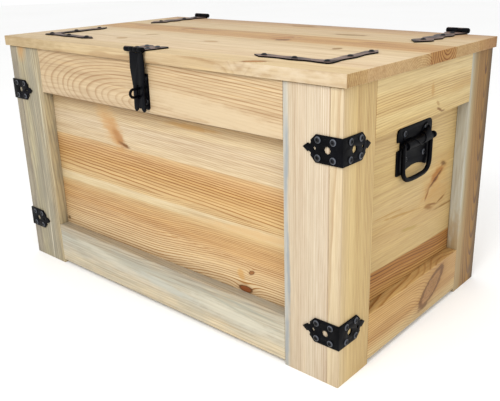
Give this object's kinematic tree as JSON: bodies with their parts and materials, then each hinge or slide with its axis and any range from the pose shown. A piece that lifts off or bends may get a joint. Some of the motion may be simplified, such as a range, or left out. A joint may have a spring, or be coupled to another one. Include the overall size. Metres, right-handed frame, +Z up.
{
  "type": "wooden chest",
  "caption": "Pine storage chest with framed and panelled sides, an overlapping hinged lid, a hasp and staple, folded corner brackets and a swinging bail handle on each end.",
  "frame": {"origin": "on the floor under the middle of the overall box, hardware included", "axes": "+X along the chest's length to its right-hand end, -Y to the front that carries the hasp, +Z up"},
  "size_m": [0.8, 0.4977, 0.4699],
  "materials": {
    "pine_frame": "planed softwood, thin satin oil",
    "pine_panel": "planed edge-glued softwood, thin satin oil",
    "pine_lid": "planed edge-glued softwood, thin satin oil",
    "pine_inside": "planed bare softwood",
    "black_steel": "satin black powder coat"
  },
  "bodies": {
    "chest_body": {"front_left_stile": "pine_frame", "front_right_stile": "pine_frame", "rear_left_stile": "pine_frame", "rear_right_stile": "pine_frame", "left_front_stile": "pine_frame", "left_rear_stile": "pine_frame", "right_front_stile": "pine_frame", "right_rear_stile": "pine_frame", "front_top_rail": "pine_frame", "front_bottom_rail": "pine_frame", "rear_top_rail": "pine_frame", "rear_bottom_rail": "pine_frame", "left_top_rail": "pine_frame", "left_bottom_rail": "pine_frame", "right_top_rail": "pine_frame", "right_bottom_rail": "pine_frame", "front_panel": "pine_panel", "rear_panel": "pine_panel", "left_panel": "pine_panel", "right_panel": "pine_panel", "front_floor_cleat": "pine_inside", "rear_floor_cleat": "pine_inside", "bottom_board": "pine_inside", "corner_bracket_left_upper": "black_steel", "corner_bracket_left_lower": "black_steel", "corner_bracket_right_upper": "black_steel", "corner_bracket_right_lower": "black_steel", "hinge_rear_leaf_left": "black_steel", "hinge_rear_leaf_right": "black_steel", "hinge_pin_left": "black_steel", "hinge_pin_right": "black_steel", "hasp_staple_plate": "black_steel", "hasp_staple_loop": "black_steel", "handle_left_plate": "black_steel", "handle_right_plate": "black_steel", "handle_left_axle": "black_steel", "handle_right_axle": "black_steel"},
    "lid": {"lid_panel": "pine_lid", "lid_batten_left": "pine_inside", "lid_batten_right": "pine_inside", "lid_corner_plate_left": "black_steel", "lid_corner_plate_right": "black_steel", "hinge_strap_left": "black_steel", "hinge_strap_right": "black_steel", "hasp_lid_leaf": "black_steel", "hasp_pin": "black_steel"},
    "hasp": {"hasp_strap": "black_steel"},
    "bail_left": {"handle_left_bail": "black_steel"},
    "bail_right": {"handle_right_bail": "black_steel"}
  },
  "joints": [
    {"name": "lid_hinge", "type": "hinge", "parent": "chest_body", "child": "lid", "pos_m": [0, 0.2441, 0.4651], "axis": [-1, 0, 0], "range_deg": [0, 110]},
    {"name": "hasp_swing", "type": "hinge", "parent": "lid", "child": "hasp", "pos_m": [0.0058, -0.2282, 0.4624], "axis": [-1, 0, 0], "range_deg": [0, 250]},
    {"name": "handle_left_swing", "type": "hinge", "parent": "chest_body", "child": "bail_left", "pos_m": [-0.3799, 0.0094, 0.322], "axis": [0, 1, 0], "range_deg": [0, 150]},
    {"name": "handle_right_swing", "type": "hinge", "parent": "chest_body", "child": "bail_right", "pos_m": [0.3799, 0.0094, 0.322], "axis": [0, -1, 0], "range_deg": [0, 150]}
  ]
}
